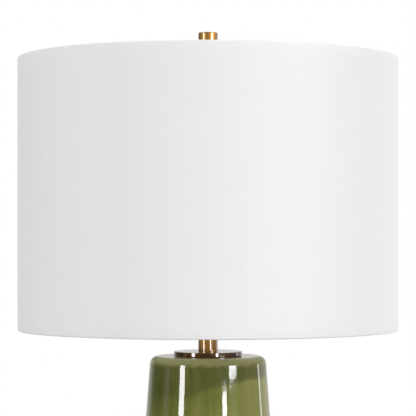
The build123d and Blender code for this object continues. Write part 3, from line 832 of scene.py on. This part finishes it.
def buildBulbGlass():
    glass = bulbGlass
    reach = glass["globeRadius"]
    centre = Vector((0, glass["globeTop"] - reach))
    neckEnd = Vector((glass["neckRadius"], glass["neckTop"]))
    toCentre = centre - neckEnd
    flank = math.atan2(toCentre.y, toCentre.x) - math.asin(reach / toCentre.length)
    start = flank - math.pi / 2  # where the flank touches the round globe
    corners = [
        (0, glass["bottom"], 0),
        (glass["neckRadius"], glass["bottom"], 0),
        (neckEnd.x, neckEnd.y, glass["neckRound"]),
    ]
    for step in range(glass["globeSteps"] + 1):
        angle = start + (math.pi / 2 - start) * step / glass["globeSteps"]
        corners.append((max(reach * math.cos(angle), 0), centre.y + reach * math.sin(angle), 0))
    turnPiece("bulbGlass", corners, "bulb", frostedGlass, ("bulb_envelope",), closed=False)


buildBulbGlass()
turnPiece(
    "bulbBase",
    [
        (bulbBase["bore"], bulbBase["bottom"], 0),
        (bulbBase["radius"], bulbBase["bottom"], bulbBase["footRoll"]),
        (bulbBase["radius"], bulbBase["top"], bulbBase["rimRoll"]),
        (bulbBase["bore"], bulbBase["top"], bulbBase["boreRoll"]),
    ],
    "bulb",
    baseThread,
    ("bulb_screw_base",),
)
print("bulb done")

# shade: linen over a stiff liner, folded over a wire ring at each edge
shade = {
    "radius": 203.2,
    "bottom": 380.8,
    "top": 670.8,
    "rows": 24,
    "segments": 240,
    "cloth": 0.7,
    "hemWidth": 6.05,  # the cloth is folded flat over each wire ring
    "fold": 1.3,
    "tuck": 0.7,  # the share of the hem's width where its tail turns back to the liner
    "tuckFold": 1.2,
    "tail": 5.0,
    "tailRadius": 201.5,
}
liner = {"inner": 201.55, "outer": 202.35, "bottom": 381.6, "top": 670.0}
seam = {
    "width": 12.0,
    "bottom": 382.0,
    "top": 669.6,
    "columns": 6,
    "rows": 24,
    "lift": 0.02,
    "proud": 0.45,
    "edge": 0.2,
    "sink": 0.46,  # its ends sink until they are flush with the cloth
    "sinkLength": 0.9,
}


def clothLength(radius, height):
    # distance along the cloth, so the weave keeps its size over the folded edges
    if radius > liner["outer"]:
        return height
    inward = shade["radius"] - radius
    middle = (shade["top"] + shade["bottom"]) / 2
    if height > middle:
        return shade["top"] + inward + (shade["top"] - height)
    return shade["bottom"] - inward - (height - shade["bottom"])


def addClothUv(bm):
    layer = bm.loops.layers.uv.new("cloth")
    for face in bm.faces:
        centre = face.calc_center_median()
        middle = (math.atan2(centre.y, centre.x) - math.pi / 2) % fullTurn
        for loop in face.loops:
            point = loop.vert.co
            angle = (math.atan2(point.y, point.x) - math.pi / 2) % fullTurn
            if angle - middle > math.pi:
                angle -= fullTurn
            elif middle - angle > math.pi:
                angle += fullTurn
            reach = math.hypot(point.x, point.y) / mm
            loop[layer].uv = (angle * shade["radius"] * mm, clothLength(reach, point.z / mm) * mm)


def buildShade():
    radius = shade["radius"]
    inner = radius - shade["hemWidth"]
    tuck = shade["hemWidth"] * shade["tuck"]
    tailEnd = shade["hemWidth"] + shade["tail"]
    height = shade["top"] - shade["bottom"]
    levels = [shade["bottom"] + height * row / shade["rows"] for row in range(1, shade["rows"])]
    corners = [
        (shade["tailRadius"], shade["bottom"] + tailEnd, 0),
        (inner, shade["bottom"] + tuck, shade["tuckFold"]),
        (inner, shade["bottom"], shade["fold"]),
        (radius, shade["bottom"], shade["fold"]),
        *((radius, level, 0) for level in levels),
        (radius, shade["top"], shade["fold"]),
        (inner, shade["top"], shade["fold"]),
        (inner, shade["top"] - tuck, shade["tuckFold"]),
        (shade["tailRadius"], shade["top"] - tailEnd, 0),
    ]
    bm = bmesh.new()
    addLine(bm, corners)
    spinLine(bm, shade["segments"])
    outside = max(bm.faces, key=lambda face: math.hypot(*face.calc_center_median().xy))
    if outside.normal.dot(outside.calc_center_median()) < 0:
        bmesh.ops.reverse_faces(bm, faces=bm.faces[:])
    addClothUv(bm)
    softenEdges(bm, 60)
    replaced = ("shade_fabric", "top_hem", "bottom_hem")
    linen = finishPiece("shadeLinen", bm, "shade", whiteLinen, replaced)
    addWall(linen, "clothThickness", shade["cloth"], -1.0).use_even_offset = True
    return linen


def buildSeam():
    # the folded joint of the cloth, straight down the back
    bm = bmesh.new()
    low = seam["bottom"] * mm
    high = seam["top"] * mm
    half = seam["width"] / 2 * mm
    bmesh.ops.create_grid(bm, x_segments=seam["columns"], y_segments=seam["rows"], size=1.0)
    for vert in bm.verts:
        angle = math.pi / 2 - vert.co.x * half / (shade["radius"] * mm)
        rise = (1 - math.cos(math.pi * (vert.co.y + 1) / 2)) / 2  # rows crowd towards both ends
        level = low + (high - low) * rise
        edgeIn = min(level - low, high - level) / mm
        drop = seam["sink"] * math.exp(-edgeIn / seam["sinkLength"])
        reach = (shade["radius"] + seam["lift"] - drop) * mm
        vert.co = (reach * math.cos(angle), reach * math.sin(angle), level)
    bmesh.ops.recalc_face_normals(bm, faces=bm.faces[:])
    if bm.faces[:][0].normal.y < 0:
        bmesh.ops.reverse_faces(bm, faces=bm.faces[:])
    addClothUv(bm)
    piece = finishPiece("shadeSeam", bm, "shade", whiteLinen)
    addWall(piece, "foldThickness", seam["proud"], 1.0)
    addWornEdges(piece, "foldEdges", seam["edge"])
    return piece


shadeLinen = buildShade()
shadeSeam = buildSeam()
turnPiece(
    "shadeLiner",
    [
        (liner["inner"], liner["bottom"], 0),
        (liner["outer"], liner["bottom"], 0),
        (liner["outer"], liner["top"], 0),
        (liner["inner"], liner["top"], 0),
    ],
    "shade",
    styreneLiner,
    ("shade_liner",),
    segments=shade["segments"],
)
smoothCopy("spider_hub", "spiderHub", "shade", whiteEnamel, 0.3)
smoothCopy("spider_arms", "spiderArms", "shade", whiteEnamel, 0)
smoothCopy("harp_stud", "harpStud", "shade", brightBrass, 0.2)

# finishes of the CAD nodes that stay as they are
nodeFinishes = {
    "threaded_pipe": pipeThread,
    "disc_gasket": blackRubber,
    "neck_bushing": brightBrass,
    "center_contact": brightBrass,
    "switch_shaft": brightBrass,
    "bulb_contact": lampMetal,
    "bulb_insulator": coneGlass,
    "top_ring": whiteEnamel,
    "bottom_ring": whiteEnamel,
}
for node, material in nodeFinishes.items():
    fitting = cadNodes[node]
    if not fitting.material_slots:
        fitting.data.materials.append(material)
    for materialSlot in fitting.material_slots:
        materialSlot.material = material
print("CAD finishes done")

# floor
floorLook = {
    "radius": 3.0,
    "pale": 0.80,
    "bounce": 0.42,  # how pale the floor is for the light that it sends back to the lamp
    "shine": 0.9,
    "fade": (0.55, 1.5),  # metres from the lamp, where the floor begins to turn white and is white
}


def seenDirectly(tree):
    paths = put(tree, "ShaderNodeLightPath").outputs
    seen = calc(tree, "MAXIMUM", paths["Is Camera Ray"], paths["Is Transmission Ray"])
    return seen, paths["Is Glossy Ray"]


def buildFloor():
    bm = bmesh.new()
    bmesh.ops.create_circle(bm, cap_ends=True, segments=96, radius=floorLook["radius"])
    floor = addObject("studioFloor", bm)
    material, tree, shader = startMaterial("paleFloor")
    bounced = put(tree, "ShaderNodeLightPath").outputs["Is Diffuse Ray"]
    pale = spread(tree, bounced, 0, 1, floorLook["pale"], floorLook["bounce"])
    fill(tree, shader, {"Base Color": pale, "Roughness": floorLook["shine"]})
    coords = put(tree, "ShaderNodeTexCoord").outputs["Object"]
    reach = put(tree, "ShaderNodeVectorMath", {0: coords}, operation="LENGTH").outputs["Value"]
    seen, glossy = seenDirectly(tree)
    whiten = spread(tree, reach, *floorLook["fade"], smooth=True)
    whiten = calc(tree, "MULTIPLY", whiten, calc(tree, "MAXIMUM", seen, glossy))
    white = put(tree, "ShaderNodeEmission", {"Color": (1, 1, 1, 1), "Strength": 1.0}).outputs[0]
    mix = put(tree, "ShaderNodeMixShader", {0: whiten, 1: shader.outputs[0], 2: white}).outputs[0]
    fill(tree, tree.nodes["Material Output"], {"Surface": mix})
    floor.data.materials.append(material)


# world: white where it is seen, a plain level where it lights
worldLook = {
    "ambient": 0.21,
    "leftGloss": 0.095,
    "rightGloss": 0.34,
    "sideFade": (-0.9, 0.8),
    "backGloss": 0.78,
    "backFade": (0.5, 0.9),
    "cardGloss": 0.85,
    "cardFade": (0.93, 0.97),
    "cardDirection": (0.743, 0.669, 0),  # a white card behind the lamp, to the right
}


def buildWorld():
    look = worldLook
    world = bpy.data.worlds.new("studioWorld")
    bpy.context.scene.world = world
    world.use_nodes = True
    tree = world.node_tree
    direction = put(tree, "ShaderNodeTexCoord").outputs["Generated"]
    side = put(tree, "ShaderNodeSeparateXYZ", {"Vector": direction}).outputs
    towards = {0: direction, 1: look["cardDirection"]}
    card = put(tree, "ShaderNodeVectorMath", towards, operation="DOT_PRODUCT").outputs["Value"]
    onCard = spread(tree, card, *look["cardFade"], 0, look["cardGloss"], smooth=True)
    leftToRight = spread(tree, side["X"], *look["sideFade"], look["leftGloss"], look["rightGloss"])
    behind = spread(tree, side["Y"], *look["backFade"], 0, look["backGloss"], smooth=True)
    gloss = calc(tree, "MAXIMUM", calc(tree, "MAXIMUM", leftToRight, behind), onCard)
    seen, glossy = seenDirectly(tree)
    lighting = calc(tree, "SUBTRACT", 1.0, calc(tree, "MAXIMUM", seen, glossy))
    plain = calc(tree, "MULTIPLY", lighting, look["ambient"])
    strength = calc(tree, "ADD", calc(tree, "ADD", seen, plain), calc(tree, "MULTIPLY", glossy, gloss))
    fill(tree, tree.nodes["Background"], {"Color": (1, 1, 1, 1), "Strength": strength})


buildFloor()
buildWorld()
print("floor and world done")

# lamps: the azimuth is in degrees from the camera's side, positive to the right, and the width in
# degrees as seen from the middle; the level is the brightness of the lamp's face
lamps = {
    "keyLamp": {"azimuth": 64, "bottom": 2.7, "top": 2.905, "width": 3, "away": 7, "level": 1180},
    "leftKey": {"azimuth": -40, "bottom": 3.61, "top": 3.93, "width": 10, "away": 7, "level": 78},
    "leftFill": {"azimuth": -37, "bottom": 5.55, "top": 9.35, "width": 40, "away": 9, "level": 8.7},
    "rightFill": {"azimuth": 85, "bottom": 5.55, "top": 9.35, "width": 40, "away": 9, "level": 2.5},
    "backLeft": {"azimuth": -145, "bottom": 1.6, "top": 2.7, "width": 40, "away": 2.6, "level": 4.5},
    "backRight": {"azimuth": 145, "bottom": 1.6, "top": 2.7, "width": 40, "away": 2.6, "level": 4.5},
    "leftStrip": {"azimuth": -50.3, "bottom": 0.02, "top": 1.5, "width": 10.5, "away": 2, "level": 20.5},
    "leftPanel": {"azimuth": -84, "bottom": 0.02, "top": 1.5, "width": 13, "away": 2, "level": 0.5},
    "rightSoftbox": {"azimuth": 48.5, "bottom": 0.4545, "top": 1.4, "width": 15.4, "away": 2, "level": 22},
    "softboxSkirt": {"azimuth": 47, "bottom": 0.02, "top": 0.45, "width": 13, "away": 2, "level": 0.5},
    "lowStrip": {"azimuth": 30.6, "bottom": 0.02, "top": 0.4445, "width": 8.2, "away": 2, "level": 24},
    "rimStrip": {"azimuth": 115.5, "bottom": 0.02, "top": 0.58, "width": 5.5, "away": 2, "level": 4.5},
}
diffuseOnly = ("leftKey", "leftFill", "rightFill", "backLeft", "backRight")
glossOnly = [name for name in lamps if name not in diffuseOnly + ("keyLamp",)]
aimHeight = 0.42
stripTint = (0.95, 0.94, 1.0)


def buildLamp(name, look):
    azimuth = math.radians(look["azimuth"])
    level = (look["bottom"] + look["top"]) / 2
    place = Vector((math.sin(azimuth), -math.cos(azimuth), 0)) * look["away"]
    target = Vector((0, 0, level if name in glossOnly else aimHeight))
    data = bpy.data.lights.new(name, "AREA")
    data.shape = "RECTANGLE"
    data.size = look["away"] * math.radians(look["width"])
    data.size_y = look["top"] - look["bottom"]
    data.energy = look["level"] * math.pi * data.size * data.size_y
    data.color = stripTint if name in glossOnly else (1, 1, 1)
    lamp = bpy.data.objects.new(name, data)
    bpy.context.scene.collection.objects.link(lamp)
    lamp.location = (place.x, place.y, level)
    lamp.rotation_euler = (target - lamp.location).to_track_quat("-Z", "Y").to_euler()
    lamp.visible_camera = False
    lamp.visible_diffuse = name not in glossOnly
    lamp.visible_glossy = name not in diffuseOnly


for name, look in lamps.items():
    buildLamp(name, look)

# camera: level, far away, its frame shifted up a little
view = {"distance": 2.028, "height": 0.4802, "lens": 163.7, "sensor": 36, "shift": 0.0699}
cameraData = bpy.data.cameras.new("photoCamera")
cameraData.lens = view["lens"]
cameraData.sensor_width = view["sensor"]
cameraData.shift_y = view["shift"]
camera = bpy.data.objects.new("photoCamera", cameraData)
bpy.context.scene.collection.objects.link(camera)
camera.location = (0, -view["distance"], view["height"])
camera.rotation_euler = (math.pi / 2, 0, 0)
bpy.context.scene.camera = camera
bpy.context.scene.view_settings.view_transform = "Standard"
print("lamps and camera done")
